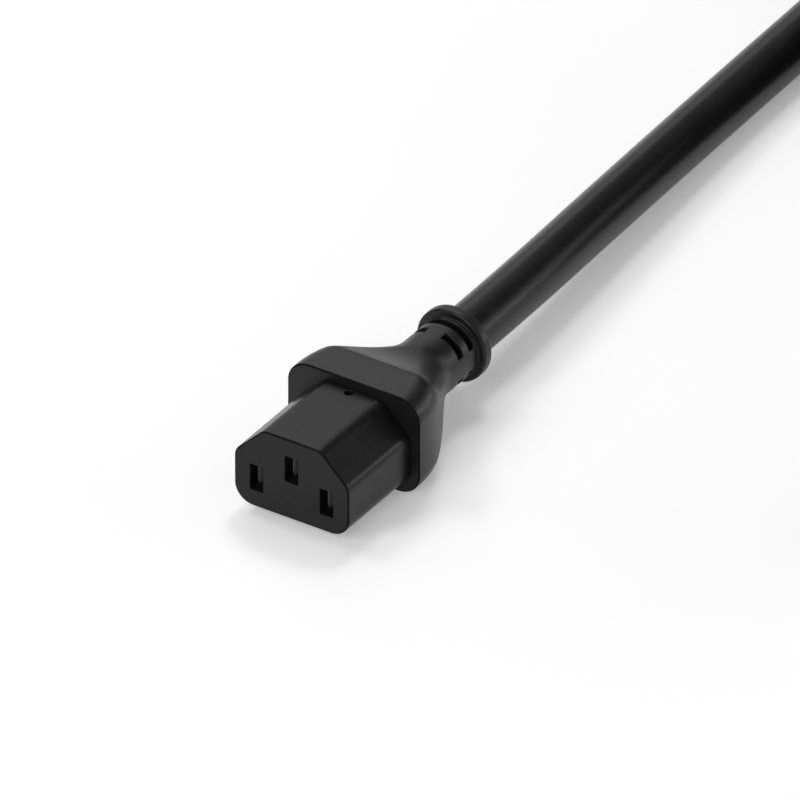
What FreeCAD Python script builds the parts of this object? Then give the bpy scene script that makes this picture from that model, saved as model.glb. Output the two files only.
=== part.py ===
import FreeCAD, Part

import math
import os

# Heavy-duty power cord, lying on a surface. All sizes are millimetres.
# X runs across the connector, its mating nose points to -Y, the cord leaves to +Y, +Z is up.
# The origin lies under the middle of the connector, on the surface that it rests on.

# Driving dimensions: contact layout shared by both ends
CONTACT_PITCH = 14.0  # line to neutral
EARTH_OFFSET = 4.0  # earth above line and neutral
LINE_DROP = 2.1  # line and neutral below the middle of the nose

# Driving dimensions: connector nose
NOSE_WIDTH = 22.9
NOSE_HEIGHT = 15.7
NOSE_LENGTH = 19.0
NOSE_CHAMFER = 5.7  # leg of the two cut upper corners
NOSE_CHAMFER_ROUND = 2.6
NOSE_LOWER_RADIUS = 3.6
NOSE_EDGE_BREAK = 0.3
NOSE_TAIL_LENGTH = 5.0  # the part held inside the boot
NOSE_TAIL_STEP = 1.2
SLOT_WIDTH = 2.7
SLOT_HEIGHT = 5.1
SLOT_LAND = 2.5  # depth of the narrow slot before its chamber
CHAMBER_WIDTH = 4.4
CHAMBER_HEIGHT = 6.2
GATE_HOLE_DIAMETER = 1.6
GATE_HOLE_DEPTH = 1.5
GATE_HOLE_SETBACK = 1.35  # from the flange to the middle of the hole

# Driving dimensions: folded contact
LEAF_THICKNESS = 0.4
LEAF_HEIGHT = 4.2
LEAF_LENGTH = 9.6
LEAF_MOUTH = 2.5  # gap between the two leaves at the mouth
LEAF_PINCH = 1.9  # gap where they grip a pin
LEAF_CORNER = 0.9
CONTACT_SETBACK = 0.2  # behind the slot's land
BACK_PLATE = 0.6
BARREL_LENGTH = 4.4
BARREL_WALL = 0.35
GRIP_LENGTH = 2.4
GRIP_WALL = 0.3
CRIMP_CLEARANCE = 0.02  # round a conductor in its barrel and round a core in its grip
SEAM_WIDTH = 0.3

# Driving dimensions: moulded boot
FLANGE_WIDTH = 26.5
FLANGE_HEIGHT = 18.9
FLANGE_CORNER = 4.3
FLANGE_EDGE_BREAK = 0.4
TAPER_LENGTH = 22.2  # flange face to neck
SIDE_TAPER_START = 0.5
SIDE_TAPER_BIAS = 1.3
TOP_TAPER_START = 7.4
TOP_TAPER_BIAS = 0.63
SHOULDER_STEPS = 3  # stretches between the sections of the level shoulder, and of the sweep behind it
SWEEP_STEPS = 7
NECK_WALL = 0.8  # round the cord's jacket
NECK_FLAT = 0.35  # half length of the short flats that are left on the round neck
BOOT_LENGTH = 32.3  # flange face to the back of the collar
COLLAR_WALL = 2.2  # round the cord's jacket
COLLAR_THICKNESS = 2.3
COLLAR_EDGE = 0.55
RELIEF_SLOT_WIDTH = 1.5
RELIEF_ROW_PITCH = 3.3
RELIEF_ROW_SETBACK = 1.5  # collar front to the middle of the nearest row
RELIEF_LONG_ANGLE = 140.0
RELIEF_LONG_MIDDLES = (0.0, 180.0)  # degrees from +Z towards +X
RELIEF_SHORT_ANGLE = 57.0
RELIEF_SHORT_MIDDLES = (43.0, 137.0, 223.0, 317.0)

# Driving dimensions: cord
CORD_DIAMETER = 9.6
CORE_DIAMETER = 3.6
CONDUCTOR_DIAMETER = 1.9
CORD_GRIP = 11.3  # length of jacket held inside each boot
CORE_LAY = {"line": -120.0, "neutral": 120.0, "earth": 0.0}  # place of each core in the jacket
CORE_GAP = 0.15  # between two cores in the jacket
CORE_RUN_IN = 1.5  # straight length of core next to a contact
CORE_RUN_OUT = 5.0  # straight length of core next to the jacket

# Driving dimensions: plug
PLUG_CLEARANCE = 0.8  # round a nose like this connector's
SHROUD_WALL = 2.1
SHROUD_DEPTH = 17.0
SHROUD_BASE = 5.5
SHROUD_EDGE_BREAK = 0.4
SHROUD_TAIL_STEP = 2.4
PIN_WIDTH = 2.0
PIN_HEIGHT = 4.0
PIN_LENGTH = 15.2
PIN_TIP = 0.6
PIN_SHANK_LENGTH = 5.0
PLUG_FLANGE_WIDTH = 29.4
PLUG_FLANGE_HEIGHT = 22.4
PLUG_FLANGE_CORNER = 5.0

# Driving dimensions: coil of the length put away
COIL_MIDDLE_DIAMETER = 10.6 * CORD_DIAMETER
COIL_CORNER = 4.2
COIL_LEAD = 42.0  # straight length of cord that belongs to the coil at each end
COIL_TOP_TURN_SWEEP = 268.0  # degrees of the last turn, back from where the cord leaves the coil

# Worked out from them
CONNECTOR_LENGTH = NOSE_LENGTH + BOOT_LENGTH
NOSE_FACE_Y = -CONNECTOR_LENGTH / 2
CONNECTOR_AXIS_Z = FLANGE_HEIGHT / 2
CORD_RADIUS = CORD_DIAMETER / 2
NECK_RADIUS = CORD_RADIUS + NECK_WALL
COLLAR_RADIUS = CORD_RADIUS + COLLAR_WALL
CONDUCTOR_BORE = CONDUCTOR_DIAMETER / 2 + CRIMP_CLEARANCE
CORE_BORE = CORE_DIAMETER / 2 + CRIMP_CLEARANCE
CORD_EXIT_Y = CONNECTOR_LENGTH / 2
COIL_INNER_TURN = COIL_MIDDLE_DIAMETER / 2 - CORD_RADIUS
COIL_OUTER_TURN = COIL_MIDDLE_DIAMETER / 2 + CORD_RADIUS
TOP_TURN_Z = 2.5 * CORD_DIAMETER
PLUG_AXIS_Z = PLUG_FLANGE_HEIGHT / 2
PLUG_LENGTH = SHROUD_DEPTH + SHROUD_BASE + BOOT_LENGTH

# The route of the cord's middle line, laid by hand: out of the boot, down to the surface, to the coil
CORD_ROUTE = [
    (0.0, CORD_EXIT_Y - CORD_GRIP, CONNECTOR_AXIS_Z),
    (0.0, 41.6, CONNECTOR_AXIS_Z),
    (-3.1, 77.6, 7.15),
    (-6.15, 122.6, CORD_RADIUS),
    (-7.34, 188.0, CORD_RADIUS),
]
COIL_ENTRY = CORD_ROUTE[-1]
ENTRY_TURN = math.atan2(COIL_ENTRY[0] - CORD_ROUTE[-2][0], COIL_ENTRY[1] - CORD_ROUTE[-2][1])
COIL_X = COIL_ENTRY[0] + COIL_OUTER_TURN * math.cos(ENTRY_TURN)
COIL_Y = COIL_ENTRY[1] - COIL_OUTER_TURN * math.sin(ENTRY_TURN)
PLUG_X = COIL_X + COIL_OUTER_TURN + CORD_RADIUS - PLUG_FLANGE_WIDTH / 2
PLUG_EXIT_Y = 76.0

# From the coil's top turn down to the plug
TAIL_ROUTE = [
    (COIL_X + COIL_OUTER_TURN, COIL_Y, TOP_TURN_Z),
    (COIL_X + COIL_OUTER_TURN, 150.0, TOP_TURN_Z),
    (PLUG_X, 103.0, PLUG_AXIS_Z),
    (PLUG_X, PLUG_EXIT_Y - CORD_GRIP, PLUG_AXIS_Z),
]


def point(x, y, z):
    return FreeCAD.Vector(x, y, z)


def outline(corners, y):
    """A closed wire in the plane at y, from corners (x, z, radius)."""
    edges, ends = [], []
    for i, (x, z, radius) in enumerate(corners):
        here = point(x, y, z)
        to_last = point(corners[i - 1][0] - x, 0, corners[i - 1][1] - z).normalize()
        after = corners[(i + 1) % len(corners)]
        to_next = point(after[0] - x, 0, after[1] - z).normalize()
        half = to_last.getAngle(to_next) / 2
        reach = radius / math.tan(half)
        start, end = here + to_last * reach, here + to_next * reach
        inward = (to_last + to_next).normalize()
        middle = here + inward * (radius / math.sin(half) - radius)
        edges.append(Part.Arc(start, middle, end).toShape())
        ends.append((start, end))
    for i, (start, _) in enumerate(ends):
        edges.append(Part.LineSegment(ends[i - 1][1], start).toShape())
    return Part.Wire(Part.__sortEdges__(edges))


def box_corners(width, height, radius):
    w, h = width / 2, height / 2
    return [(-w, -h, radius), (w, -h, radius), (w, h, radius), (-w, h, radius)]


def nose_corners(grow):
    """The nose's outline, moved outwards by grow."""
    w, h = NOSE_WIDTH / 2 + grow, NOSE_HEIGHT / 2 + grow
    leg = NOSE_CHAMFER + grow * (2 - math.sqrt(2))
    low, cut = NOSE_LOWER_RADIUS + grow, NOSE_CHAMFER_ROUND + max(grow, 0)
    return [
        (-w, -h, low),
        (w, -h, low),
        (w, h - leg, cut),
        (w - leg, h, cut),
        (-w + leg, h, cut),
        (-w, h - leg, cut),
    ]


def prism(corners, y, length):
    return Part.Face(outline(corners, y)).extrude(point(0, length, 0))


def bar(width, height, x, z, y, length):
    """A square-edged bar along Y, its section centred on x and z."""
    return Part.makeBox(width, length, height, point(x - width / 2, y, z - height / 2))


def rod(radius, x, z, y, length):
    return Part.makeCylinder(radius, length, point(x, y, z), point(0, 1, 0))


def break_front(solid, y, size):
    """Bevels the outer edges of the flat front at y."""
    level = [f for f in solid.Faces if f.BoundBox.YLength < 0.001 and abs(f.CenterOfMass.y - y) < 0.001]
    front = max(level, key=lambda f: f.BoundBox.DiagonalLength)
    return solid.makeChamfer(size, front.OuterWire.Edges)


def contact_places():
    """Name and place across the nose of each contact."""
    return [
        ("line", -CONTACT_PITCH / 2, -LINE_DROP),
        ("neutral", CONTACT_PITCH / 2, -LINE_DROP),
        ("earth", 0.0, EARTH_OFFSET - LINE_DROP),
    ]


def path_edges(points):
    """Straight runs joined by tangent arcs, and the arcs' radii."""
    places = [point(*p) for p in points]
    edges, radii, start = [], [], places[0]
    for last, here, after in zip(places, places[1:], places[2:]):
        back, on = last - here, after - here
        reach = 0.45 * min(back.Length, on.Length)
        back.normalize()
        on.normalize()
        half = (math.pi - back.getAngle(on)) / 2
        radius = reach / math.tan(half)
        radii.append(radius)
        inward = (back + on).normalize()
        middle = here + inward * (radius / math.cos(half) - radius)
        edges.append(Part.LineSegment(start, here + back * reach).toShape())
        edges.append(Part.Arc(here + back * reach, middle, here + on * reach).toShape())
        start = here + on * reach
    edges.append(Part.LineSegment(start, places[-1]).toShape())
    return edges, radii


def tube(points, radius):
    """A round solid that follows the points, and the radii of its bends."""
    edges, radii = path_edges(points)
    path = Part.Wire(edges)
    heading = point(*points[1]) - point(*points[0])
    ring = Part.Wire(Part.makeCircle(radius, point(*points[0]), heading))
    solid = path.makePipeShell([ring], True, False)
    share = solid.Volume / (math.pi * radius**2 * path.Length)
    assert abs(share - 1) < 0.01, share
    return solid, radii, path.Length


def ease(share, bias):
    """1 at share 0 and 0 at share 1, level at both."""
    s = min(max(share, 0.0), 1.0) ** bias
    return 1 - s * s * (3 - 2 * s)


def boot_section(y, width, height, corner):
    """The boot's section at y behind the flange face: wide and flat there, round at the neck."""
    side = ease((y - SIDE_TAPER_START) / (TAPER_LENGTH - SIDE_TAPER_START), SIDE_TAPER_BIAS)
    top = ease((y - TOP_TAPER_START) / (TAPER_LENGTH - TOP_TAPER_START), TOP_TAPER_BIAS)
    half_width = NECK_RADIUS + (width / 2 - NECK_RADIUS) * side
    half_height = NECK_RADIUS + (height / 2 - NECK_RADIUS) * top
    radius = NECK_RADIUS + (corner - NECK_RADIUS) * side
    radius = min(radius, half_width - NECK_FLAT, half_height - NECK_FLAT)
    return outline(box_corners(2 * half_width, 2 * half_height, radius), y)


def boot_stretch(y_start, y_end, steps, width, height, corner):
    """A smooth stretch of the boot between two places behind its flange face."""
    places = [y_start + (y_end - y_start) * step / steps for step in range(steps + 1)]
    return Part.makeLoft([boot_section(y, width, height, corner) for y in places], True, False, False, 3)


def boot_skin(width, height, corner):
    """The boot's outside, its flange face at y = 0: level shoulder, sweep to the neck, neck and collar."""
    shoulder = boot_stretch(0, TOP_TAPER_START, SHOULDER_STEPS, width, height, corner)
    shoulder = break_front(shoulder, 0, FLANGE_EDGE_BREAK)
    sweep = boot_stretch(TOP_TAPER_START, TAPER_LENGTH, SWEEP_STEPS, width, height, corner)
    collar_y = BOOT_LENGTH - COLLAR_THICKNESS
    round_end = Part.Face(boot_section(TAPER_LENGTH, width, height, corner))
    neck = round_end.extrude(point(0, collar_y - TAPER_LENGTH, 0))
    collar = rod(COLLAR_RADIUS, 0, 0, collar_y, COLLAR_THICKNESS)
    rims = [e for e in collar.Edges if isinstance(e.Curve, Part.Circle)]
    collar = collar.makeFillet(COLLAR_EDGE, rims)
    return shoulder.fuse([sweep, neck, collar]).removeSplitter()


def relief_slot(y, middle_angle, sweep):
    """A slot round the neck, down to the cord's jacket."""
    low, high = CORD_RADIUS, COLLAR_RADIUS
    profile = Part.makePolygon(
        [
            point(0, y - RELIEF_SLOT_WIDTH / 2, low),
            point(0, y + RELIEF_SLOT_WIDTH / 2, low),
            point(0, y + RELIEF_SLOT_WIDTH / 2, high),
            point(0, y - RELIEF_SLOT_WIDTH / 2, high),
            point(0, y - RELIEF_SLOT_WIDTH / 2, low),
        ]
    )
    face = Part.Face(profile)
    face.rotate(point(0, 0, 0), point(0, 1, 0), middle_angle - sweep / 2)
    return face.revolve(point(0, 0, 0), point(0, 1, 0), sweep)


def relief_slots():
    """Two long slots next to the collar and four short ones in front of them."""
    near = BOOT_LENGTH - COLLAR_THICKNESS - RELIEF_ROW_SETBACK
    slots = [relief_slot(near, middle, RELIEF_LONG_ANGLE) for middle in RELIEF_LONG_MIDDLES]
    far = near - RELIEF_ROW_PITCH
    slots += [relief_slot(far, middle, RELIEF_SHORT_ANGLE) for middle in RELIEF_SHORT_MIDDLES]
    return slots


def core_route(x, z, angle, y_start, y_straight, y_jacket):
    """A core's middle line, from its crimp to its place in the jacket, at angle from +Z towards +X."""
    lay = (CORE_DIAMETER + CORE_GAP) / math.sqrt(3)
    end_x, end_z = lay * math.sin(math.radians(angle)), lay * math.cos(math.radians(angle))
    return [
        (x, y_start, z),
        (x, y_straight, z),
        (end_x, y_jacket - CORE_RUN_OUT, end_z),
        (end_x, y_jacket, end_z),
    ]


def inside(y_flange, tail, y_core_start, y_conductor_start):
    """What the boot is moulded round: each core and its conductor, and the room they take."""
    y_jacket = y_flange + BOOT_LENGTH - CORD_GRIP
    y_straight = y_flange + tail + CORE_RUN_IN
    made, room = {}, []
    for name, x, z in contact_places():
        route = core_route(x, z, CORE_LAY[name], y_core_start, y_straight, y_jacket)
        core = tube(route, CORE_DIAMETER / 2)[0]
        bared = rod(CONDUCTOR_DIAMETER / 2, x, z, y_conductor_start, y_core_start - y_conductor_start)
        conductor = tube(route, CONDUCTOR_DIAMETER / 2)[0].fuse(bared).removeSplitter()
        made[name + "_core"] = core.cut(conductor)
        made[name + "_conductor"] = conductor
        room.append(core)
    room.append(rod(CORD_RADIUS, 0, 0, y_jacket, CORD_GRIP))
    return made, room


def boot(y_flange, width, height, corner, tail, room):
    slotted = boot_skin(width, height, corner).cut(relief_slots())
    slotted.translate(point(0, y_flange, 0))
    return slotted.cut([tail] + room)


def connector_nose():
    nose = break_front(prism(nose_corners(0), 0, NOSE_LENGTH), 0, NOSE_EDGE_BREAK)
    tail = prism(nose_corners(-NOSE_TAIL_STEP), NOSE_LENGTH, NOSE_TAIL_LENGTH)
    solid = nose.fuse(tail)
    chamber_length = NOSE_LENGTH + NOSE_TAIL_LENGTH - SLOT_LAND
    for _, x, z in contact_places():
        solid = solid.cut(bar(SLOT_WIDTH, SLOT_HEIGHT, x, z, 0, SLOT_LAND))
        solid = solid.cut(bar(CHAMBER_WIDTH, CHAMBER_HEIGHT, x, z, SLOT_LAND, chamber_length))
    hole_top = NOSE_HEIGHT / 2
    hole = Part.makeCylinder(
        GATE_HOLE_DIAMETER / 2,
        GATE_HOLE_DEPTH,
        point(0, NOSE_LENGTH - GATE_HOLE_SETBACK, hole_top - GATE_HOLE_DEPTH),
    )
    return solid.cut(hole), tail


def contact_leaf(side, y):
    """One springy leaf, bowed in to grip the pin. side is -1 or 1."""
    mouth, pinch = LEAF_MOUTH / 2, LEAF_PINCH / 2
    ends = []
    for extra in (0.0, LEAF_THICKNESS):
        ends.append(
            [
                point(side * (mouth + extra), y, 0),
                point(side * (pinch + extra), y + LEAF_LENGTH / 2, 0),
                point(side * (mouth + extra), y + LEAF_LENGTH, 0),
            ]
        )
    near, far = ends
    edges = [
        Part.Arc(*near).toShape(),
        Part.LineSegment(near[2], far[2]).toShape(),
        Part.Arc(*far).toShape(),
        Part.LineSegment(far[0], near[0]).toShape(),
    ]
    face = Part.Face(Part.Wire(Part.__sortEdges__(edges)))
    face.translate(point(0, 0, -LEAF_HEIGHT / 2))
    leaf = face.extrude(point(0, 0, LEAF_HEIGHT))
    front = [
        e
        for e in leaf.Edges
        if abs(e.CenterOfMass.y - y) < 0.01 and abs(abs(e.CenterOfMass.z) - LEAF_HEIGHT / 2) < 0.01
    ]
    return leaf.makeFillet(LEAF_CORNER, front)


def contact(x, z):
    """A folded contact: two leaves, a back plate, and the barrels crimped on conductor and core."""
    y = SLOT_LAND + CONTACT_SETBACK
    leaves = [contact_leaf(side, y) for side in (-1, 1)]
    back_y = y + LEAF_LENGTH
    solid = bar(LEAF_MOUTH + 2 * LEAF_THICKNESS, LEAF_HEIGHT, 0, 0, back_y, BACK_PLATE)
    barrel_y = back_y + BACK_PLATE
    grip_y = barrel_y + BARREL_LENGTH
    barrel = rod(CONDUCTOR_BORE + BARREL_WALL, 0, 0, barrel_y, BARREL_LENGTH)
    web = rod(CORE_BORE + GRIP_WALL, 0, 0, grip_y, GRIP_LENGTH)
    solid = solid.fuse(leaves + [barrel, web])
    solid = solid.cut(rod(CONDUCTOR_BORE, 0, 0, barrel_y, BARREL_LENGTH + BACK_PLATE))
    solid = solid.cut(rod(CORE_BORE, 0, 0, grip_y + BACK_PLATE, GRIP_LENGTH))
    seam_height = CORE_BORE + GRIP_WALL
    seam_y = barrel_y + BACK_PLATE
    seam = bar(SEAM_WIDTH, seam_height, 0, seam_height / 2, seam_y, BARREL_LENGTH + GRIP_LENGTH)
    solid = solid.cut(seam)
    solid.translate(point(x, 0, z))
    return solid, barrel_y, grip_y + BACK_PLATE


def place_all(made, move):
    for shape in made.values():
        shape.translate(move)
    return made


def connector():
    """The connector, built with its nose face at y = 0 and its axis at the origin."""
    nose, tail = connector_nose()
    made = {"connector_nose": nose}
    for name, x, z in contact_places():
        made[name + "_contact"], conductor_y, core_y = contact(x, z)
    cores, room = inside(NOSE_LENGTH, NOSE_TAIL_LENGTH, core_y, conductor_y)
    made.update(cores)
    made["connector_boot"] = boot(
        NOSE_LENGTH, FLANGE_WIDTH, FLANGE_HEIGHT, FLANGE_CORNER, tail, room
    )
    return place_all(made, point(0, NOSE_FACE_Y, CONNECTOR_AXIS_Z))


def pin(x, z, y):
    """A flat pin with eased tip, and the shank that its conductor is crimped in."""
    blade = bar(PIN_WIDTH, PIN_HEIGHT, x, z, y, PIN_LENGTH + SHROUD_BASE)
    tip = [e for e in blade.Edges if abs(e.CenterOfMass.y - y) < 0.01]
    blade = blade.makeChamfer(PIN_TIP, tip)
    shank_y = y + PIN_LENGTH + SHROUD_BASE
    shank = rod(CONDUCTOR_BORE + BARREL_WALL, x, z, shank_y, PIN_SHANK_LENGTH)
    return blade.fuse(shank).cut(rod(CONDUCTOR_BORE, x, z, shank_y + BACK_PLATE, PIN_SHANK_LENGTH))


def plug_shroud():
    """The pin carrier: base and open shroud in one moulding, with a tail held in the boot."""
    length = SHROUD_DEPTH + SHROUD_BASE
    body = prism(nose_corners(PLUG_CLEARANCE + SHROUD_WALL), 0, length)
    body = break_front(body, 0, SHROUD_EDGE_BREAK)
    cavity = prism(nose_corners(PLUG_CLEARANCE), 0, SHROUD_DEPTH)
    tail_grow = PLUG_CLEARANCE + SHROUD_WALL - SHROUD_TAIL_STEP
    tail = prism(nose_corners(tail_grow), length, NOSE_TAIL_LENGTH)
    solid = body.cut(cavity).fuse(tail)
    for _, x, z in contact_places():
        solid = solid.cut(bar(PIN_WIDTH, PIN_HEIGHT, x, z, SHROUD_DEPTH, SHROUD_BASE))
        solid = solid.cut(rod(CORE_BORE, x, z, length, NOSE_TAIL_LENGTH))
    return solid, tail


def plug():
    """The plug, built with its shroud's rim at y = 0 and its axis at the origin."""
    shroud, tail = plug_shroud()
    made = {"plug_shroud": shroud}
    y_flange = SHROUD_DEPTH + SHROUD_BASE
    pin_y = SHROUD_DEPTH - PIN_LENGTH
    for name, x, z in contact_places():
        made[f"plug_{name}_pin"] = pin(x, z, pin_y)
    cores, room = inside(y_flange, NOSE_TAIL_LENGTH, y_flange + PIN_SHANK_LENGTH, y_flange + BACK_PLATE)
    for name, shape in cores.items():
        made["plug_" + name] = shape
    made["plug_boot"] = boot(
        y_flange, PLUG_FLANGE_WIDTH, PLUG_FLANGE_HEIGHT, PLUG_FLANGE_CORNER, tail, room
    )
    return place_all(made, point(PLUG_X, PLUG_EXIT_Y - PLUG_LENGTH, PLUG_AXIS_Z))


def split_across(solid, y, beyond):
    """The part of a solid on one side of the plane at y, beyond or short of it."""
    size = 1000.0
    low = y if beyond else y - size
    half = Part.makeBox(size, size, size, point(-size / 2, low, -size / 2))
    return solid.common(half)


def bundle_section():
    """The coil's section: two turns wide and two high."""
    wire = outline(box_corners(2 * CORD_DIAMETER, 2 * CORD_DIAMETER, COIL_CORNER), 0)
    wire.translate(point(COIL_MIDDLE_DIAMETER / 2, 0, CORD_DIAMETER))
    return wire


def top_turn_section():
    """The last turn's section, on the outer turns, let into the bundle below it."""
    low_z = TOP_TURN_Z - CORD_DIAMETER
    crown = point(COIL_OUTER_TURN, 0, TOP_TURN_Z + CORD_RADIUS)
    left = point(COIL_OUTER_TURN - CORD_RADIUS, 0, TOP_TURN_Z)
    right = point(COIL_OUTER_TURN + CORD_RADIUS, 0, TOP_TURN_Z)
    low_right, low_left = point(right.x, 0, low_z), point(left.x, 0, low_z)
    edges = [
        Part.Arc(left, crown, right).toShape(),
        Part.LineSegment(right, low_right).toShape(),
        Part.LineSegment(low_right, low_left).toShape(),
        Part.LineSegment(low_left, left).toShape(),
    ]
    return Part.Wire(Part.__sortEdges__(edges))


def coil_and_tubes():
    """The coil's outer shape with its two leads, and the cord on each side of it."""
    run, radii, length = tube(CORD_ROUTE, CORD_RADIUS)
    tail, tail_radii, tail_length = tube(TAIL_ROUTE, CORD_RADIUS)
    print("cord bends", [round(r) for r in radii], "length", round(length, 1))
    print("tail bends", [round(r) for r in tail_radii], "length", round(tail_length, 1))
    ring = Part.Face(bundle_section()).revolve(point(0, 0, 0), point(0, 0, 1), 360)
    top = Part.Face(top_turn_section()).revolve(point(0, 0, 0), point(0, 0, 1), COIL_TOP_TURN_SWEEP)
    ring = ring.fuse(top)
    ring.translate(point(COIL_X, COIL_Y, 0))
    lead_in = split_across(run, COIL_ENTRY[1] - COIL_LEAD, True)
    lead_out = split_across(tail, COIL_Y - COIL_LEAD, True)
    coil = ring.fuse([lead_in, lead_out]).removeSplitter()
    made = {
        "cord": split_across(run, COIL_ENTRY[1] - COIL_LEAD, False),
        "cord_coil": coil,
        "cord_tail": split_across(tail, COIL_Y - COIL_LEAD, False),
    }
    return made


def build():
    made = connector()
    made.update(plug())
    made.update(coil_and_tubes())
    return made


os.makedirs("parts", exist_ok=True)
for name, shape in build().items():
    assert shape.isValid(), name
    shape.exportStep(f"parts/{name}.step")
    print(name, len(shape.Solids), round(shape.Volume, 1))
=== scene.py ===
import math

import bmesh
import bpy
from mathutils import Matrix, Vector


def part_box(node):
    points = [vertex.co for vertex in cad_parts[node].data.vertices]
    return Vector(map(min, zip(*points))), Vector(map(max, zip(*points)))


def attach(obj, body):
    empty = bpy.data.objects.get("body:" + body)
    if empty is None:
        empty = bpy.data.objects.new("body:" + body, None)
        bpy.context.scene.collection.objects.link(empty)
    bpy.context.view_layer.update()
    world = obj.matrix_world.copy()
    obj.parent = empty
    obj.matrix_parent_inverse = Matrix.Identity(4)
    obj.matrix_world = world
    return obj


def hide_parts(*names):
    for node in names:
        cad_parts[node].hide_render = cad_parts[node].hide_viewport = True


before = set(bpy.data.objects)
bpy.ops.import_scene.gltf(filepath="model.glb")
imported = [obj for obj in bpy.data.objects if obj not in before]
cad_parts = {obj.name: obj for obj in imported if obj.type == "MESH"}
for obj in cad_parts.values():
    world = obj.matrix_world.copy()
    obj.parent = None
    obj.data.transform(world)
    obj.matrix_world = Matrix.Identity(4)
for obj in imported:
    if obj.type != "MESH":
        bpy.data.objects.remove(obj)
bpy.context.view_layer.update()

MM = 0.001

# Places and sizes of the connector, in metres
NOSE_FACE_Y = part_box("connector_nose")[0].y
BOOT_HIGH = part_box("connector_boot")[1]
AXIS_Z = BOOT_HIGH.z / 2

# Sizes of the cord and of its coil, in metres
CORD_DIAMETER = 9.6 * MM
CORD_RADIUS = CORD_DIAMETER / 2
COIL_INNER_TURN = 4.8 * CORD_DIAMETER
COIL_OUTER_TURN = 5.8 * CORD_DIAMETER
COIL_POINTS_A_TURN = 16
COIL_TURNS = 4.5

# Where the coil eases to another turn, in turns from its start
INWARD = (0.79, 1.01)
OUTWARD = (2.65, 2.87)
UPWARD = [(1.75, 1.89), (3.62, 3.76)]

# The cord's route out of the boot, down to the surface and to the coil, and from the coil to the plug
CORD_ROUTE = [
    (0.0, 0.01435, 0.00945),
    (0.0, 0.0416, 0.00945),
    (-0.0031, 0.0776, 0.00715),
    (-0.00615, 0.1226, 0.0048),
    (-0.00734, 0.188, 0.0048),
]
TAIL_ROUTE = [
    (0.10401, 0.150, 0.0240),
    (0.09411, 0.103, 0.0112),
    (0.09411, 0.0647, 0.0112),
]


# Camera

VIEW_AZIMUTH = math.radians(33.09)
VIEW_ELEVATION = math.radians(33.25)
FRAME_WIDTH = 0.1342
LENS = 1500.0
SENSOR = 36.0
FACE_PIXEL = (291.4, 480.3)  # where the photograph has the middle of the nose's front
PICTURE_SIZE = 800
CLIP_END = 100.0


def make_camera():
    a, e = VIEW_AZIMUTH, VIEW_ELEVATION
    towards = Vector((math.sin(a) * math.cos(e), -math.cos(a) * math.cos(e), math.sin(e)))
    right = Vector((math.cos(a), math.sin(a), 0))
    up = towards.cross(right)
    metre_per_pixel = FRAME_WIDTH / PICTURE_SIZE
    face = Vector((0, NOSE_FACE_Y, AXIS_Z))
    aim = face + right * (PICTURE_SIZE / 2 - FACE_PIXEL[0]) * metre_per_pixel
    aim += up * (FACE_PIXEL[1] - PICTURE_SIZE / 2) * metre_per_pixel
    camera = bpy.data.objects.new("camera", bpy.data.cameras.new("camera"))
    camera.data.lens = LENS
    camera.data.sensor_width = SENSOR
    camera.data.clip_end = CLIP_END
    camera.location = aim + towards * (FRAME_WIDTH * LENS / SENSOR)
    camera.rotation_euler = (-towards).to_track_quat("-Z", "Y").to_euler()
    bpy.context.scene.collection.objects.link(camera)
    bpy.context.scene.camera = camera


make_camera()


# The cord

def smooth(value, start, end):
    """0 before start, 1 after end, and eased between them."""
    s = min(max((value - start) / (end - start), 0.0), 1.0)
    return s * s * (3 - 2 * s)


def coil_points():
    """Control points of the coil's turns: each is a little outside the turn that the smooth line makes."""
    entry, before = Vector(CORD_ROUTE[-1]), Vector(CORD_ROUTE[-2])
    heading = math.atan2(entry.x - before.x, entry.y - before.y)
    middle_x = entry.x + COIL_OUTER_TURN * math.cos(heading)
    middle_y = entry.y - COIL_OUTER_TURN * math.sin(heading)
    step = 1 / COIL_POINTS_A_TURN
    made = []
    for i in range(int(COIL_TURNS * COIL_POINTS_A_TURN)):
        turn = (i + 0.5) * step
        inward = smooth(turn, *INWARD) - smooth(turn, *OUTWARD)
        radius = COIL_OUTER_TURN + (COIL_INNER_TURN - COIL_OUTER_TURN) * inward
        radius /= math.cos(math.pi * step)
        level = sum(smooth(turn, *rise) for rise in UPWARD)
        angle = math.pi - heading - 2 * math.pi * turn
        made.append(
            (
                middle_x + radius * math.cos(angle),
                middle_y + radius * math.sin(angle),
                CORD_RADIUS + CORD_DIAMETER * level,
            )
        )
    return made


def make_cord():
    line = bpy.data.curves.new("cord_line", "CURVE")
    line.dimensions = "3D"
    spline = line.splines.new("NURBS")
    route = CORD_ROUTE + coil_points() + TAIL_ROUTE
    spline.points.add(len(route) - 1)
    for place, target in zip(route, spline.points):
        target.co = (*place, 1.0)
    spline.order_u = 3
    spline.use_endpoint_u = True
    line.resolution_u = 10
    line.bevel_depth = CORD_RADIUS
    line.bevel_resolution = 7
    line.use_fill_caps = True
    cord = bpy.data.objects.new("cord_jacket", line)
    bpy.context.scene.collection.objects.link(cord)
    return cord


cord = make_cord()


# The moulded boot, drawn in millimetres round its own axis with its flange face at y = 0

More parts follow.
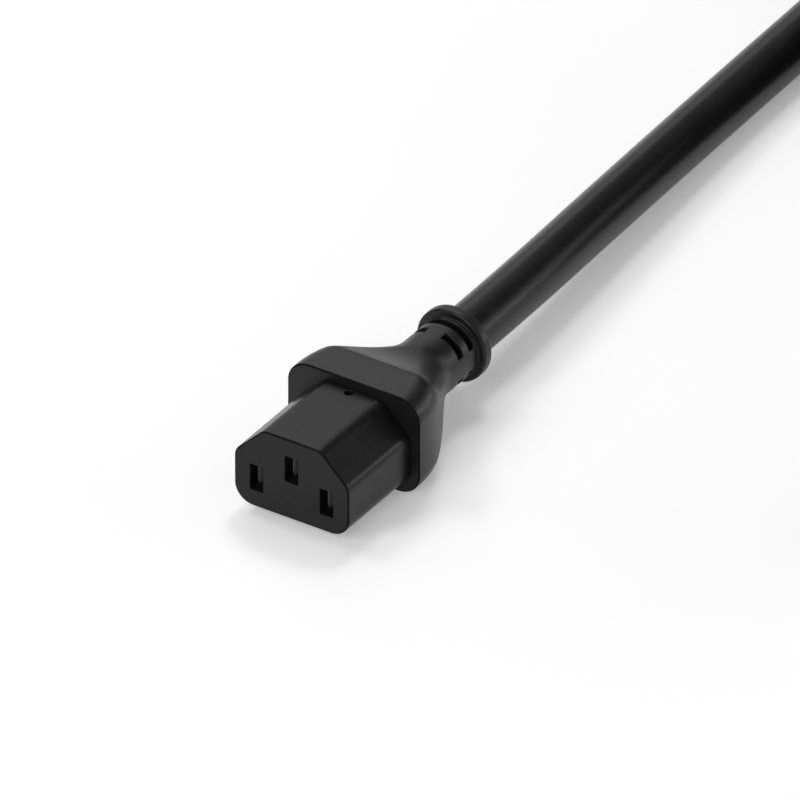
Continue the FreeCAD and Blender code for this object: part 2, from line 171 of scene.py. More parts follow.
TAPER_LENGTH = 22.2
SIDE_TAPER_START = 0.5
SIDE_TAPER_BIAS = 1.3
TOP_TAPER_START = 7.4
TOP_TAPER_BIAS = 0.63
NECK_RADIUS = 5.6
NECK_FLAT = 0.35
FLANGE_ROUND = 0.28
FLANGE_FACE_INSET = 2.2
COLLAR_START = 30.0
COLLAR_RADIUS = 7.0
COLLAR_ROUND = 0.55
BOOT_LENGTH = 32.3
BORE_RADIUS = 4.81
BORE_ROUND = 0.15
BORE_START = 21.0
SLOT_ROUND = 0.16
SLOT_ROWS = {
    "far": (24.45, 25.95),
    "near": (27.75, 29.25),
}
RELIEF_SLOTS = [
    ("near", 0, 141.5),
    ("near", 180, 141.5),
    ("far", 42.6, 56.3),
    ("far", 137.4, 56.3),
    ("far", 222.6, 56.3),
    ("far", 317.4, 56.3),
]
SLOT_ROW_GAP = 26.85
NECK_START = 23.3
COLLAR_FOOT = [(29.75, 0.0), (29.93, 0.06), (COLLAR_START, 0.22)]  # place, and height above the neck
BORE_BACK = [31.0, 30.0]
BORE_FRONT = [23.0, BORE_START]
SHOULDER_ROWS = 8
SWEEP_ROWS = 24
SLOT_TOLERANCE = 0.01
CORNER_ANGLES = [0, 7.25, 14.5, 22.5, 30.5, 38.5, 46.5, 54.5, 62.5, 70.75, 77.2, 83.6, 90]
ROUND_STEPS = 4
EDGE_SEGMENTS = 3
FACE_WEIGHT = 60


def ease(share, bias):
    """1 at share 0 and 0 at share 1, level at both."""
    s = min(max(share, 0.0), 1.0) ** bias
    return 1 - s * s * (3 - 2 * s)


def boot_shape(y, width, height, corner):
    """Half width, half height and corner radius of the boot at y behind its flange face."""
    side = ease((y - SIDE_TAPER_START) / (TAPER_LENGTH - SIDE_TAPER_START), SIDE_TAPER_BIAS)
    top = ease((y - TOP_TAPER_START) / (TAPER_LENGTH - TOP_TAPER_START), TOP_TAPER_BIAS)
    half_width = NECK_RADIUS + (width / 2 - NECK_RADIUS) * side
    half_height = NECK_RADIUS + (height / 2 - NECK_RADIUS) * top
    radius = NECK_RADIUS + (corner - NECK_RADIUS) * side
    return half_width, half_height, min(radius, half_width - NECK_FLAT, half_height - NECK_FLAT)


def column_angles():
    """The angle of each column of the boot's mesh, from +Z towards +X, with one more column at each flat."""
    back = CORNER_ANGLES[::-1]
    return (
        CORNER_ANGLES
        + [180 - a for a in back]
        + [180 + a for a in CORNER_ANGLES]
        + [360 - a for a in back]
    )


COLUMNS = column_angles()
QUARTER = len(CORNER_ANGLES)


def ring(y, half_width, half_height, radius):
    """A row of the boot's mesh with four round corners and a flat between each two."""
    made = []
    for i, angle in enumerate(COLUMNS):
        quarter = i // QUARTER
        side = 1 if quarter in (0, 1) else -1
        top = 1 if quarter in (0, 3) else -1
        a = math.radians(angle)
        x = side * (half_width - radius) + radius * math.sin(a)
        z = top * (half_height - radius) + radius * math.cos(a)
        made.append(Vector((x, y, z)))
    return made


def round_ring(y, radius):
    """A round row, its columns a little apart where the other rows have their flats."""
    gap = math.degrees(math.asin(NECK_FLAT / COLLAR_RADIUS))
    made = []
    for i, angle in enumerate(COLUMNS):
        start = 90 * (i // QUARTER)
        a = math.radians(start + gap + (angle - start) * (90 - 2 * gap) / 90)
        made.append(Vector((radius * math.sin(a), y, radius * math.cos(a))))
    return made


def quarter_turn():
    return [math.pi / 2 * i / ROUND_STEPS for i in range(ROUND_STEPS + 1)]


def slot_places():
    """Places of the mesh's rows at the two rows of relief slots, and of one between them."""
    far, near = SLOT_ROWS["far"], SLOT_ROWS["near"]
    return [far[0], (far[0] + far[1]) / 2, far[1], SLOT_ROW_GAP, near[0], (near[0] + near[1]) / 2, near[1]]


def outer_rows(width, height, corner):
    """Rows of the boot's skin from its flange face back over the collar, to the edge of the bore."""
    rows = []
    half_width, half_height, radius = boot_shape(0, width, height, corner)
    inset = FLANGE_FACE_INSET
    rows.append(ring(0, half_width - inset, half_height - inset, radius - inset))
    for a in quarter_turn():
        inset = FLANGE_ROUND * (1 - math.sin(a))
        y = FLANGE_ROUND * (1 - math.cos(a))
        rows.append(ring(y, half_width - inset, half_height - inset, radius - inset))
    shoulder, sweep = TOP_TAPER_START - FLANGE_ROUND, TAPER_LENGTH - TOP_TAPER_START
    places = [FLANGE_ROUND + shoulder * i / SHOULDER_ROWS for i in range(1, SHOULDER_ROWS + 1)]
    places += [TOP_TAPER_START + sweep * i / SWEEP_ROWS for i in range(1, SWEEP_ROWS + 1)]
    for y in places + [NECK_START] + slot_places():
        rows.append(ring(y, *boot_shape(y, width, height, corner)))
    for y, swell in COLLAR_FOOT:
        rows.append(ring(y, NECK_RADIUS + swell, NECK_RADIUS + swell, NECK_RADIUS + swell - NECK_FLAT))
    edge = COLLAR_RADIUS - COLLAR_ROUND
    for a in quarter_turn():
        y = COLLAR_START + COLLAR_ROUND * (1 - math.cos(a))
        rows.append(round_ring(y, edge + COLLAR_ROUND * math.sin(a)))
    for a in quarter_turn():
        y = BOOT_LENGTH - COLLAR_ROUND * (1 - math.sin(a))
        rows.append(round_ring(y, edge + COLLAR_ROUND * math.cos(a)))
    for a in quarter_turn():
        y = BOOT_LENGTH - BORE_ROUND * (1 - math.cos(a))
        rows.append(round_ring(y, BORE_RADIUS + BORE_ROUND * (1 - math.sin(a))))
    return rows


def bore_rows():
    """Rows of the bore that the cord lies in, from its mouth to its end inside the boot."""
    places = BORE_BACK + slot_places()[::-1] + BORE_FRONT
    return [round_ring(y, BORE_RADIUS) for y in places]


def in_slot(row, next_row, column):
    """Whether the mesh's face between two rows, at that column, is cut away by a relief slot."""
    angle, after = COLUMNS[column], COLUMNS[(column + 1) % len(COLUMNS)]
    middle = (angle + after) / 2 if abs(after - angle) < 180 else 0
    low, high = sorted((row[0].y, next_row[0].y))
    for place, slot_middle, sweep in RELIEF_SLOTS:
        start, end = SLOT_ROWS[place]
        off = (middle - slot_middle + 180) % 360 - 180
        if abs(off) < sweep / 2 and low > start - SLOT_TOLERANCE and high < end + SLOT_TOLERANCE:
            return True
    return False


def add_slot_walls(mesh, verts, rows, outer_count, openings):
    """Joins the edge of each opening in the boot's skin to the one below it in the bore."""
    count = len(COLUMNS)
    bore_row = {round(row[0].y, 3): outer_count + i for i, row in enumerate(rows[outer_count:])}
    weight = mesh.edges.layers.float.new("bevel_weight_edge")
    for i, k in openings:
        if i >= outer_count - 1:
            continue
        # the two ends of each side of the opening, and the face on its other side
        sides = [
            ((i, k), (i, k + 1), (i - 1, k)),
            ((i + 1, k), (i + 1, k + 1), (i + 1, k)),
            ((i, k), (i + 1, k), (i, k - 1)),
            ((i, k + 1), (i + 1, k + 1), (i, k + 1)),
        ]
        for (ia, ka), (ib, kb), (ni, nk) in sides:
            if (ni, nk % count) in openings:
                continue
            a, b = verts[ia][ka % count], verts[ib][kb % count]
            low_a = verts[bore_row[round(rows[ia][0].y, 3)]][ka % count]
            low_b = verts[bore_row[round(rows[ib][0].y, 3)]][kb % count]
            mesh.faces.new([a, b, low_b, low_a])
            mesh.edges.get((a, b))[weight] = 1.0


def boot_mesh(name, width, height, corner):
    """The boot as one closed shell, with its relief slots open down to the cord."""
    outer = outer_rows(width, height, corner)
    rows = outer + bore_rows()
    mesh = bmesh.new()
    verts = [[mesh.verts.new(p) for p in row] for row in rows]
    openings = []
    for i in range(len(rows) - 1):
        for k in range(len(COLUMNS)):
            if in_slot(rows[i], rows[i + 1], k):
                openings.append((i, k))
                continue
            after = (k + 1) % len(COLUMNS)
            face = mesh.faces.new([verts[i][k], verts[i][after], verts[i + 1][after], verts[i + 1][k]])
            face.material_index = 1 if 1 <= i <= ROUND_STEPS else 0  # the flange's rim, where the edge material paints a dark line of shade
    mesh.faces.new(verts[0])
    mesh.faces.new(verts[-1])
    add_slot_walls(mesh, verts, rows, len(outer), openings)
    bmesh.ops.recalc_face_normals(mesh, faces=mesh.faces)
    made = bpy.data.meshes.new(name)
    mesh.to_mesh(made)
    mesh.free()
    return made


def even_shading(piece):
    """Shades the wide faces flat up to their eased edges."""
    shading = piece.modifiers.new("even_shading", "WEIGHTED_NORMAL")
    shading.keep_sharp = True
    shading.weight = FACE_WEIGHT


def make_boot(name, width, height, corner, place):
    mesh = boot_mesh(name, width, height, corner)
    for vert in mesh.vertices:
        vert.co = vert.co * MM + place
    for face in mesh.polygons:
        face.use_smooth = True
    boot = bpy.data.objects.new(name, mesh)
    bpy.context.scene.collection.objects.link(boot)
    edges = boot.modifiers.new("slot_edges", "BEVEL")
    edges.limit_method = "WEIGHT"
    edges.width = SLOT_ROUND * MM
    edges.segments = EDGE_SEGMENTS
    even_shading(boot)
    return boot


def centre_of(node):
    low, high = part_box(node)
    return (low + high) / 2


def boot_place(node):
    """Where a boot's flange face and axis are."""
    low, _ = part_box(node)
    middle = centre_of(node)
    return Vector((middle.x, low.y, middle.z))


FLANGE_SIZE = (26.5, 18.9, 4.3)  # width, height and corner radius
PLUG_FLANGE_SIZE = (29.4, 22.4, 5.0)
connector_boot = make_boot("overmould_boot", *FLANGE_SIZE, boot_place("connector_boot"))
plug_boot = make_boot("plug_overmould_boot", *PLUG_FLANGE_SIZE, boot_place("plug_boot"))


# Finishes

CLOUD_SCALE = 180.0  # clouds and streaks a metre
STREAK_SCALE = (6000.0, 300.0, 6000.0)
STREAK_DEPTH = 2e-6
GRAIN_SHEEN = 0.06  # how far the grain or the streaks change the roughness
STREAK_SHEEN = 0.08
INSULATION_SPECULAR = 0.3


def new_material(name):
    material = bpy.data.materials.new(name)
    material.use_nodes = True
    nodes, links = material.node_tree.nodes, material.node_tree.links
    return material, nodes, links, nodes["Principled BSDF"]


def moulded(name, dark, light, roughness, grain_size, grain_depth, specular):
    """Moulded plastic: a slight cloudiness in its colour, and a fine grain from the mould, in millimetres."""
    material, nodes, links, shader = new_material(name)
    place = nodes.new("ShaderNodeTexCoord")
    cloud = nodes.new("ShaderNodeTexNoise")
    cloud.inputs["Scale"].default_value = CLOUD_SCALE
    cloud.inputs["Detail"].default_value = 4.0
    shade = nodes.new("ShaderNodeValToRGB")
    shade.color_ramp.elements[0].position = 0.35
    shade.color_ramp.elements[0].color = (*dark, 1.0)
    shade.color_ramp.elements[1].position = 0.65
    shade.color_ramp.elements[1].color = (*light, 1.0)
    grain = nodes.new("ShaderNodeTexNoise")
    grain.inputs["Scale"].default_value = 1.0 / (grain_size * MM)
    grain.inputs["Detail"].default_value = 3.0
    grain.inputs["Roughness"].default_value = 0.6
    sheen = nodes.new("ShaderNodeMapRange")
    sheen.inputs["From Min"].default_value = 0.3
    sheen.inputs["From Max"].default_value = 0.7
    sheen.inputs["To Min"].default_value = roughness - GRAIN_SHEEN
    sheen.inputs["To Max"].default_value = roughness + GRAIN_SHEEN
    bump = nodes.new("ShaderNodeBump")
    bump.inputs["Strength"].default_value = 1.0
    bump.inputs["Distance"].default_value = grain_depth * MM
    shader.inputs["Specular IOR Level"].default_value = specular
    links.new(place.outputs["Object"], cloud.inputs["Vector"])
    links.new(place.outputs["Object"], grain.inputs["Vector"])
    links.new(cloud.outputs["Fac"], shade.inputs["Fac"])
    links.new(shade.outputs["Color"], shader.inputs["Base Color"])
    links.new(grain.outputs["Fac"], sheen.inputs["Value"])
    links.new(sheen.outputs["Result"], shader.inputs["Roughness"])
    links.new(grain.outputs["Fac"], bump.inputs["Height"])
    links.new(bump.outputs["Normal"], shader.inputs["Normal"])
    return material


def metal(name, colour, metallic, roughness):
    """Plated or drawn metal with faint streaks along the piece."""
    material, nodes, links, shader = new_material(name)
    place = nodes.new("ShaderNodeTexCoord")
    stretch = nodes.new("ShaderNodeMapping")
    stretch.inputs["Scale"].default_value = STREAK_SCALE
    streaks = nodes.new("ShaderNodeTexNoise")
    streaks.inputs["Scale"].default_value = 1.0
    sheen = nodes.new("ShaderNodeMapRange")
    sheen.inputs["To Min"].default_value = roughness - STREAK_SHEEN
    sheen.inputs["To Max"].default_value = roughness + STREAK_SHEEN
    bump = nodes.new("ShaderNodeBump")
    bump.inputs["Distance"].default_value = STREAK_DEPTH
    shader.inputs["Base Color"].default_value = (*colour, 1.0)
    shader.inputs["Metallic"].default_value = metallic
    links.new(place.outputs["Object"], stretch.inputs["Vector"])
    links.new(stretch.outputs["Vector"], streaks.inputs["Vector"])
    links.new(streaks.outputs["Fac"], sheen.inputs["Value"])
    links.new(sheen.outputs["Result"], shader.inputs["Roughness"])
    links.new(streaks.outputs["Fac"], bump.inputs["Height"])
    links.new(bump.outputs["Normal"], shader.inputs["Normal"])
    return material


# A shaded copy of the dark plastic: its low specular paints a dark line of shade along the eased edges it is
# put on
EDGE_PAINTED_SHADE = moulded("painted_shade_edge", (0.006, 0.006, 0.006), (0.008, 0.008, 0.008), 0.6, 0.28, 0.004, 0.05)
CARRIER = moulded("carrier_plastic", (0.006, 0.006, 0.0065), (0.008, 0.008, 0.0085), 0.32, 0.28, 0.008, 0.22)
BOOT = moulded("boot_plastic", (0.0075, 0.0075, 0.008), (0.010, 0.010, 0.0105), 0.36, 0.30, 0.010, 0.28)
JACKET = moulded("cord_jacket", (0.006, 0.006, 0.0065), (0.008, 0.008, 0.0085), 0.30, 0.22, 0.004, 0.25)
PLATED = metal("plated_brass", (0.72, 0.75, 0.78), 0.8, 0.35)
# The contacts' plated metal made darker and duller: painted shade of the chambers they sit in
CONTACT_PAINTED_SHADE = metal("contact_painted_shade", (0.3, 0.305, 0.31), 0.35, 0.45)
COPPER = metal("copper", (0.72, 0.43, 0.3), 1.0, 0.3)


def insulation(name, dark, light):
    return moulded(name, dark, light, 0.4, 0.25, 0.004, INSULATION_SPECULAR)


LINE = insulation("line_insulation", (0.03, 0.03, 0.03), (0.04, 0.04, 0.04))
NEUTRAL = insulation("neutral_insulation", (0.75, 0.75, 0.72), (0.8, 0.8, 0.77))
EARTH = insulation("earth_insulation", (0.05, 0.28, 0.08), (0.06, 0.32, 0.1))

FINISHES = {
    "connector_nose": CARRIER,
    "plug_shroud": CARRIER,
    "connector_boot": BOOT,
    "plug_boot": BOOT,
    "contact": PLATED,
    "pin": PLATED,
    "conductor": COPPER,
    "line_core": LINE,
    "neutral_core": NEUTRAL,
    "earth_core": EARTH,
    "cord": JACKET,
}


def finish_of(node):
    for ending, material in FINISHES.items():
        if node.endswith(ending) or node == ending:
            return material
    return JACKET


for node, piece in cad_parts.items():
    piece.data.materials.clear()
    piece.data.materials.append(finish_of(node))
cord.data.materials.append(JACKET)
for boot in (connector_boot, plug_boot):
    boot.data.materials.append(BOOT)
    boot.data.materials.append(EDGE_PAINTED_SHADE)


# The nose and the shroud, drawn in millimetres with their axis at the origin and their front at y = 0

NOSE_WIDTH = 22.9
NOSE_HEIGHT = 15.7
NOSE_CHAMFER = 5.7
NOSE_CHAMFER_ROUND = 2.6
NOSE_LOWER_RADIUS = 3.6
NOSE_LENGTH = 19.0
NOSE_TAIL_END = 24.0
NOSE_TAIL_STEP = 1.2
SLOT_SIZE = (2.7, 5.1)
SLOT_LAND = 2.5
CHAMBER_SIZE = (4.4, 6.2)
GATE_HOLE_DIAMETER = 1.6
GATE_HOLE_DEPTH = 1.5
GATE_HOLE_SETBACK = 1.35
SHROUD_CLEARANCE = 0.8
SHROUD_WALL = 2.1
SHROUD_DEPTH = 17.0
SHROUD_LENGTH = 22.5
SHROUD_TAIL_END = 27.5
SHROUD_TAIL_STEP = 2.4
PIN_SIZE = (2.0, 4.0)
CONTACT_PITCH = 14.0
EARTH_HEIGHT = 4.0
LINE_DROP = 2.1
CORNER_STEPS = 12
NOSE_RIM = 0.27
SHROUD_RIM = 0.35
SLOT_RIM = 0.06
EDGE_ANGLE = math.radians(32.0)
FLAT_ANGLE = math.radians(0.6)
MERGE_DISTANCE = 0.001
ROD_SEGMENTS = 48
OVERCUT = 1.0  # how far a cutter reaches past what it cuts
LAND_OVERLAP = 0.1
PLACES_ACROSS = [
    (-CONTACT_PITCH / 2, -LINE_DROP),
    (CONTACT_PITCH / 2, -LINE_DROP),
    (0.0, EARTH_HEIGHT - LINE_DROP),
]


def nose_outline(grow, y):
    """Points round the nose's outline, moved outwards by grow, at y."""
    w, h = NOSE_WIDTH / 2 + grow, NOSE_HEIGHT / 2 + grow
    leg = NOSE_CHAMFER + grow * (2 - math.sqrt(2))
    low, cut = NOSE_LOWER_RADIUS + grow, NOSE_CHAMFER_ROUND + max(grow, 0)
    corners = [
        (-w, -h, low),
        (w, -h, low),
        (w, h - leg, cut),
        (w - leg, h, cut),
        (-w + leg, h, cut),
        (-w, h - leg, cut),
    ]
    made = []
    for i, (x, z, radius) in enumerate(corners):
        here = Vector((x, y, z))
        last, after = corners[i - 1], corners[(i + 1) % len(corners)]
        to_last = (Vector((last[0], y, last[1])) - here).normalized()
        to_next = (Vector((after[0], y, after[1])) - here).normalized()
        half = to_last.angle(to_next) / 2
        middle = here + (to_last + to_next).normalized() * radius / math.sin(half)
        start = here + to_last * radius / math.tan(half) - middle
        end = here + to_next * radius / math.tan(half) - middle
        for step in range(CORNER_STEPS + 1):
            made.append(middle + start.slerp(end, step / CORNER_STEPS).normalized() * radius)
    return made


def shell_through(work, outlines):
    """A closed shell through outlines that have the same number of points."""
    rows = [[work.verts.new(p) for p in outline] for outline in outlines]
    for row, after in zip(rows, rows[1:]):
        for k in range(len(row)):
            work.faces.new((row[k - 1], row[k], after[k], after[k - 1]))
    work.faces.new(rows[0])
    work.faces.new(rows[-1])


def bar(work, size, x, z, y_start, y_end):
    """A square-edged bar along y, for cutting."""
    w, h = size[0] / 2, size[1] / 2
    corners = ((-w, -h), (w, -h), (w, h), (-w, h))
    shell_through(work, [[Vector((x + i, y, z + k)) for i, k in corners] for y in (y_start, y_end)])


def rod(work, radius, middle, along):
    """A round rod centred on middle, for cutting."""
    turn = along.to_track_quat("Z", "Y").to_matrix().to_4x4()
    turn.translation = middle
    sizes = {"radius1": radius, "radius2": radius, "depth": along.length}
    bmesh.ops.create_cone(work, cap_ends=True, segments=ROD_SEGMENTS, matrix=turn, **sizes)


def drawn(name, draw):
    """An object with what draw makes in it, drawn in millimetres."""
    work = bmesh.new()
    draw(work)
    bmesh.ops.recalc_face_normals(work, faces=work.faces)
    mesh = bpy.data.meshes.new(name)
    work.to_mesh(mesh)
    work.free()
    thing = bpy.data.objects.new(name, mesh)
    bpy.context.scene.collection.objects.link(thing)
    return thing


def bake(piece):
    """Turns a piece with its modifiers into a plain mesh."""
    bpy.context.view_layer.update()
    shape = piece.evaluated_get(bpy.context.evaluated_depsgraph_get())
    made = bpy.data.meshes.new_from_object(shape)
    piece.modifiers.clear()
    piece.data = made
    return piece


def cut(piece, draw):
    """Takes away from a piece what draw makes."""
    cutter = drawn("cutter", draw)
    away = piece.modifiers.new("cut", "BOOLEAN")
    away.operation = "DIFFERENCE"
    away.solver = "EXACT"
    away.object = cutter
    bake(piece)
    bpy.data.objects.remove(cutter)


def ease_edges(piece, width, edge_slot):
    """Rounds a piece's edges and gives the rounds the material in that slot."""
    bevel = piece.modifiers.new("eased_edges", "BEVEL")
    bevel.limit_method = "ANGLE"
    bevel.angle_limit = EDGE_ANGLE
    bevel.width = width
    bevel.segments = EDGE_SEGMENTS
    bevel.material = edge_slot
    even_shading(piece)


def with_painted_shade_rim(piece, width):
    """A carrier with the edges of its outline eased, and the rounds given the edge material that paints a
    dark line of shade, before anything is cut in it.
    """
    for material in (CARRIER, EDGE_PAINTED_SHADE):
        piece.data.materials.append(material)
    ease_edges(piece, width, 1)
    return bake(piece)


def finish_carrier(piece, place, ease):
    """Cleans a carrier's mesh after its cuts, eases its edges and puts it at its place."""
    work = bmesh.new()
    work.from_mesh(piece.data)
    bmesh.ops.remove_doubles(work, verts=work.verts, dist=MERGE_DISTANCE)
    bmesh.ops.dissolve_limit(work, angle_limit=FLAT_ANGLE, verts=work.verts, edges=work.edges)
    for vert in work.verts:
        vert.co = vert.co * MM + place
    for face in work.faces:
        face.smooth = True
    work.to_mesh(piece.data)
    work.free()
    ease_edges(piece, ease, 0)
    return bake(piece)


def make_nose():
    """The contact carrier: the nose, its narrower tail, three slots with chambers, and the hole on top."""
    def body(work):
        outlines = [
            nose_outline(0, 0),
            nose_outline(0, NOSE_LENGTH),
            nose_outline(-NOSE_TAIL_STEP, NOSE_LENGTH),
            nose_outline(-NOSE_TAIL_STEP, NOSE_TAIL_END),
        ]
        shell_through(work, outlines)

    def slots(work):
        for x, z in PLACES_ACROSS:
            bar(work, SLOT_SIZE, x, z, -OVERCUT, SLOT_LAND + LAND_OVERLAP)

    def chambers(work):
        for x, z in PLACES_ACROSS:
            bar(work, CHAMBER_SIZE, x, z, SLOT_LAND, NOSE_TAIL_END + OVERCUT)

    def gate_hole(work):
        middle = Vector((0, NOSE_LENGTH - GATE_HOLE_SETBACK, NOSE_HEIGHT / 2))
        rod(work, GATE_HOLE_DIAMETER / 2, middle, Vector((0, 0, 2 * GATE_HOLE_DEPTH)))

    nose = with_painted_shade_rim(drawn("contact_carrier", body), NOSE_RIM)
    for draw in (chambers, slots, gate_hole):
        cut(nose, draw)
    return finish_carrier(nose, Vector((0.0, NOSE_FACE_Y, AXIS_Z)), SLOT_RIM * MM)


def make_shroud():
    """The pin carrier: a wall round a nose like the connector's, and its tail with a hole for each pin."""
    def body(work):
        grow = SHROUD_CLEARANCE + SHROUD_WALL
        outlines = [
            nose_outline(SHROUD_CLEARANCE, SHROUD_DEPTH),
            nose_outline(SHROUD_CLEARANCE, 0),
            nose_outline(grow, 0),
            nose_outline(grow, SHROUD_LENGTH),
            nose_outline(grow - SHROUD_TAIL_STEP, SHROUD_LENGTH),
            nose_outline(grow - SHROUD_TAIL_STEP, SHROUD_TAIL_END),
        ]
        shell_through(work, outlines)

    def pin_holes(work):
        for x, z in PLACES_ACROSS:
            bar(work, PIN_SIZE, x, z, SHROUD_DEPTH - OVERCUT, SHROUD_TAIL_END + OVERCUT)

    shroud = with_painted_shade_rim(drawn("pin_shroud", body), SHROUD_RIM)
    cut(shroud, pin_holes)
    low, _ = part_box("plug_shroud")
    middle = centre_of("plug_shroud")
    return finish_carrier(shroud, Vector((middle.x, low.y, middle.z)), SLOT_RIM * MM)


def own_copy(node, name, middle):
    """A copy of a solid's mesh with its flats made whole again, and with middle moved to the origin."""
    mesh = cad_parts[node].data.copy()
    work = bmesh.new()
    work.from_mesh(mesh)
    bmesh.ops.remove_doubles(work, verts=work.verts, dist=MERGE_DISTANCE * MM)
    bmesh.ops.dissolve_limit(work, angle_limit=FLAT_ANGLE, verts=work.verts, edges=work.edges)
    bmesh.ops.translate(work, verts=work.verts, vec=-middle)
    for face in work.faces:
        face.smooth = True
    work.to_mesh(mesh)
    work.free()
    piece = bpy.data.objects.new(name, mesh)
    bpy.context.scene.collection.objects.link(piece)
    return piece


def maths(nodes, operation, second=None):
    """A maths node, with its second value where one is given."""
    node = nodes.new("ShaderNodeMath")
    node.operation = operation
    if second is not None:
        node.inputs[1].default_value = second
    return node


PLACES_INPUTS = {"Piece": "Geometry", "Pitch": "Float", "Earth Height": "Float", "Finish": "Material"}


def contact_places():
    """A node tree that puts a piece at the places of line, earth and neutral."""
    tree = bpy.data.node_groups.new("contact_places", "GeometryNodeTree")
    sockets = {}
    for name, kind in PLACES_INPUTS.items():
        socket = tree.interface.new_socket(name, in_out="INPUT", socket_type="NodeSocket" + kind)
        sockets[name] = socket.identifier
    tree.interface.new_socket("Set", in_out="OUTPUT", socket_type="NodeSocketGeometry")
    nodes, links = tree.nodes, tree.links
    given, result = nodes.new("NodeGroupInput"), nodes.new("NodeGroupOutput")
    half = maths(nodes, "MULTIPLY", 0.5)
    opposite = maths(nodes, "MULTIPLY", -1.0)
    first, step, lift = (nodes.new("ShaderNodeCombineXYZ") for _ in range(3))
    row = nodes.new("GeometryNodeMeshLine")
    row.inputs["Count"].default_value = 3
    number, is_earth = nodes.new("GeometryNodeInputIndex"), nodes.new("FunctionNodeCompare")
    is_earth.data_type, is_earth.operation = "INT", "EQUAL"
    raised = nodes.new("GeometryNodeSetPosition")
    copies = nodes.new("GeometryNodeInstanceOnPoints")
    whole, finish = nodes.new("GeometryNodeRealizeInstances"), nodes.new("GeometryNodeSetMaterial")
    middle_number = next(s for s in is_earth.inputs if s.name == "B" and s.type == "INT")
    middle_number.default_value = 1
    counted = next(s for s in is_earth.inputs if s.name == "A" and s.type == "INT")
    links.new(given.outputs["Pitch"], half.inputs[0])
    links.new(half.outputs[0], opposite.inputs[0])
    links.new(opposite.outputs[0], first.inputs["X"])
    links.new(half.outputs[0], step.inputs["X"])
    links.new(given.outputs["Earth Height"], lift.inputs["Z"])
    links.new(first.outputs[0], row.inputs["Start Location"])
    links.new(step.outputs[0], row.inputs["Offset"])
    links.new(number.outputs[0], counted)
    links.new(row.outputs["Mesh"], raised.inputs["Geometry"])
    links.new(is_earth.outputs[0], raised.inputs["Selection"])
    links.new(lift.outputs[0], raised.inputs["Offset"])
    links.new(raised.outputs["Geometry"], copies.inputs["Points"])
    links.new(given.outputs["Piece"], copies.inputs["Instance"])
    links.new(copies.outputs["Instances"], whole.inputs["Geometry"])
    links.new(whole.outputs["Geometry"], finish.inputs["Geometry"])
    links.new(given.outputs["Finish"], finish.inputs["Material"])
    links.new(finish.outputs["Geometry"], result.inputs["Set"])
    return tree, sockets


PLACES, PLACES_SOCKETS = contact_places()


def set_of_three(nodes, name, ease, finish, shape=None):
    """Line, neutral and earth pieces of one kind, repeated from the line one."""
    axis = centre_of(nodes["line"])
    axis.y = 0.0
    piece = own_copy(nodes["line"], name, axis)
    if shape:
        shape(piece)
    ease_edges(piece, ease, 0)
    bake(piece)
    repeat = piece.modifiers.new("at_each_place", "NODES")
    repeat.node_group = PLACES
    repeat[PLACES_SOCKETS["Pitch"]] = CONTACT_PITCH * MM
    repeat[PLACES_SOCKETS["Earth Height"]] = EARTH_HEIGHT * MM
    repeat[PLACES_SOCKETS["Finish"]] = finish
    bake(piece)
    middle = (centre_of(nodes["line"]) + centre_of(nodes["neutral"])) / 2
    for vert in piece.data.vertices:
        vert.co += Vector((middle.x, 0.0, middle.z))
    return piece


LEAF_START = 2.7 * MM  # behind the nose's front
LEAF_END = 12.3 * MM
LEAF_CORNER = 0.9 * MM  # the round at the leaves' mouth
CORNER_SHARE = 0.6  # how much of that round's length is kept
LEAF_GROWTH = 1.44


def shape_leaves(piece):
    """Makes the springy leaves of a contact taller, with a tighter round at their mouth."""
    front = NOSE_FACE_Y + LEAF_START
    for vert in piece.data.vertices:
        y = vert.co.y
        if y < NOSE_FACE_Y + LEAF_END:
            vert.co.z *= LEAF_GROWTH
            vert.co.y = max(front + (y - front) * CORNER_SHARE, y - LEAF_CORNER * (1 - CORNER_SHARE))


POLES = ("line", "neutral", "earth")
CONTACTS = {name: f"{name}_contact" for name in POLES}
PINS = {name: f"plug_{name}_pin" for name in POLES}
CONTACT_EASE = 0.08 * MM
PIN_EASE = 0.15 * MM
nose = make_nose()
shroud = make_shroud()
contacts = set_of_three(CONTACTS, "contact_set", CONTACT_EASE, CONTACT_PAINTED_SHADE, shape_leaves)
pins = set_of_three(PINS, "pin_set", PIN_EASE, PLATED)


# Floor and light

FLOOR_REACH = 6.0
FLOOR_DROP = 0.0001  # below the cord
FLOOR_COLOUR = (0.82, 0.82, 0.82, 1.0)
FLOOR_ROUGHNESS = 0.9
FLOOR_SPECULAR = 0.1
FLOOR_LIFT = 0.28  # own light, which only the camera and mirrored or see-through views see
SKY_LEVELS = [  # height of the direction, and the light from there
    (0.12, 0.69),
    (0.2, 0.25),
    (0.32, 0.25),
    (0.38, 0.0),
    (0.55, 0.0),
    (0.62, 0.26),
    (0.84, 0.26),
    (0.9, 0.0),
]
LAMP_DISTANCE = 1.6
LAMP_AIM = Vector((0, 0.03, 0.01))
LAMPS = [  # name, azimuth and elevation in degrees, width and height in metres, power in watts
    ("back_left_box", -45.0, 33.0, 0.85, 0.85, 2.7),
    ("left_top_box", -60.0, 62.0, 1.0, 0.8, 3.6),
    ("left_key", -90.0, 55.0, 0.35, 0.35, 3.6),
    ("back_key", -20.0, 60.0, 0.35, 0.35, 5.0),
    ("back_right_low_strip", 47.0, 5.0, 1.8, 0.24, 5.8),
    ("back_right_strip", 47.0, 13.0, 1.8, 0.24, 1.6),
    ("back_right_high_strip", 47.0, 21.0, 1.8, 0.24, 1.0),
    ("right_box", 80.0, 50.0, 0.8, 0.8, 0.8),
    ("front_box", 180.0, 35.0, 1.2, 0.8, 12.0),
]


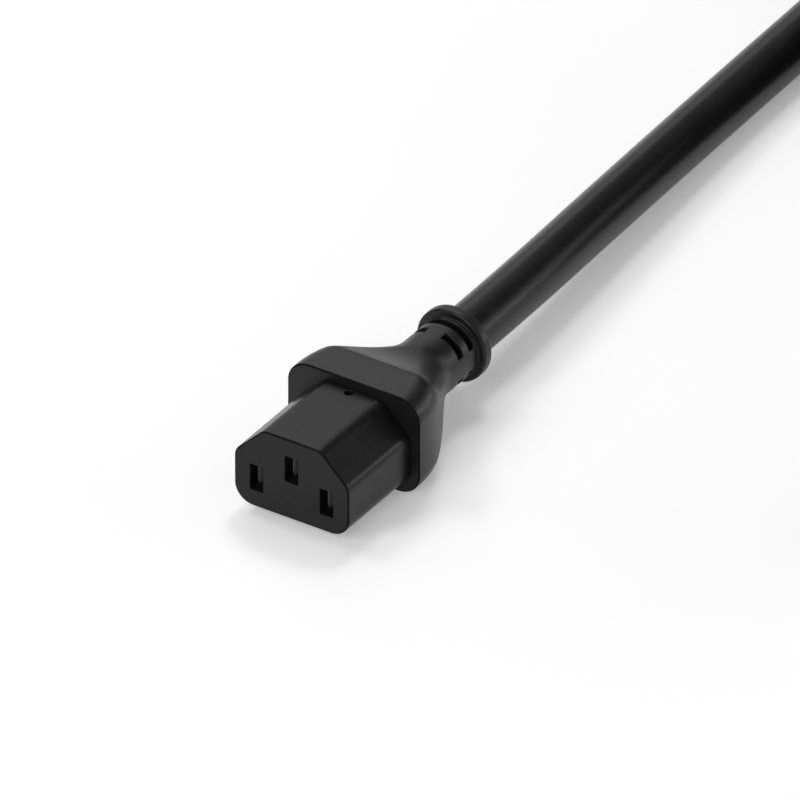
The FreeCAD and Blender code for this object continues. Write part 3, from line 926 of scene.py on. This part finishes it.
def make_floor():
    """White paper. The camera sees it a little lighter than it is, and the object's shadow stays on it."""
    mesh = bpy.data.meshes.new("floor")
    corners = [(x * FLOOR_REACH, y * FLOOR_REACH, 0) for x, y in ((-1, -1), (1, -1), (1, 1), (-1, 1))]
    mesh.from_pydata(corners, [], [(0, 1, 2, 3)])
    floor = bpy.data.objects.new("floor", mesh)
    floor.location.z = -FLOOR_DROP
    bpy.context.scene.collection.objects.link(floor)
    material, nodes, links, shader = new_material("floor_paper")
    shader.inputs["Base Color"].default_value = FLOOR_COLOUR
    shader.inputs["Roughness"].default_value = FLOOR_ROUGHNESS
    shader.inputs["Specular IOR Level"].default_value = FLOOR_SPECULAR
    shader.inputs["Emission Color"].default_value = (1, 1, 1, 1)
    rays = nodes.new("ShaderNodeLightPath")
    seen_or_mirrored = maths(nodes, "MAXIMUM")
    any_view = maths(nodes, "MAXIMUM")
    lift = maths(nodes, "MULTIPLY", FLOOR_LIFT)
    links.new(rays.outputs["Is Camera Ray"], seen_or_mirrored.inputs[0])
    links.new(rays.outputs["Is Glossy Ray"], seen_or_mirrored.inputs[1])
    links.new(seen_or_mirrored.outputs[0], any_view.inputs[0])
    links.new(rays.outputs["Is Transmission Ray"], any_view.inputs[1])
    links.new(any_view.outputs[0], lift.inputs[0])
    links.new(lift.outputs[0], shader.inputs["Emission Strength"])
    mesh.materials.append(material)


def softbox(name, azimuth, elevation, width, height, power):
    """An area lamp aimed at the connector. Azimuth runs clockwise from +Y as seen from above."""
    a, e = math.radians(azimuth), math.radians(elevation)
    away = Vector((math.sin(a) * math.cos(e), math.cos(a) * math.cos(e), math.sin(e)))
    lamp = bpy.data.lights.new(name, "AREA")
    lamp.shape = "RECTANGLE"
    lamp.size, lamp.size_y = width, height
    lamp.energy = power
    thing = bpy.data.objects.new(name, lamp)
    thing.location = LAMP_AIM + away * LAMP_DISTANCE
    thing.rotation_euler = away.to_track_quat("Z", "Y").to_euler()
    bpy.context.scene.collection.objects.link(thing)


def make_surroundings():
    """A pale wall low down all round, and rings of less light above it."""
    world = bpy.data.worlds.new("studio")
    world.use_nodes = True
    nodes, links = world.node_tree.nodes, world.node_tree.links
    place = nodes.new("ShaderNodeTexCoord")
    parts = nodes.new("ShaderNodeSeparateXYZ")
    sky = nodes.new("ShaderNodeValToRGB")
    stops = sky.color_ramp.elements
    while len(stops) < len(SKY_LEVELS):
        stops.new(1.0)
    for stop, (height, level) in zip(stops, SKY_LEVELS):
        stop.position = height
        stop.color = (level, level, level, 1.0)
    links.new(place.outputs["Generated"], parts.inputs["Vector"])
    links.new(parts.outputs["Z"], sky.inputs["Fac"])
    links.new(sky.outputs["Color"], nodes["Background"].inputs["Color"])
    bpy.context.scene.world = world


make_floor()
for lamp in LAMPS:
    softbox(*lamp)
make_surroundings()
bpy.context.scene.view_settings.view_transform = "Standard"


# Each piece goes on the root body, and the CAD parts it stands for are hidden

for piece, slot, nodes in (
    (connector_boot, "boot_plastic", ["connector_boot"]),
    (plug_boot, "boot_plastic", ["plug_boot"]),
    (nose, "carrier_plastic", ["connector_nose"]),
    (shroud, "carrier_plastic", ["plug_shroud"]),
    (contacts, "plated_brass", list(CONTACTS.values())),
    (pins, "plated_brass", list(PINS.values())),
):
    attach(piece, "root")
    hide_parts(*nodes)

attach(cord, "root")
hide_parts("cord", "cord_coil", "cord_tail")
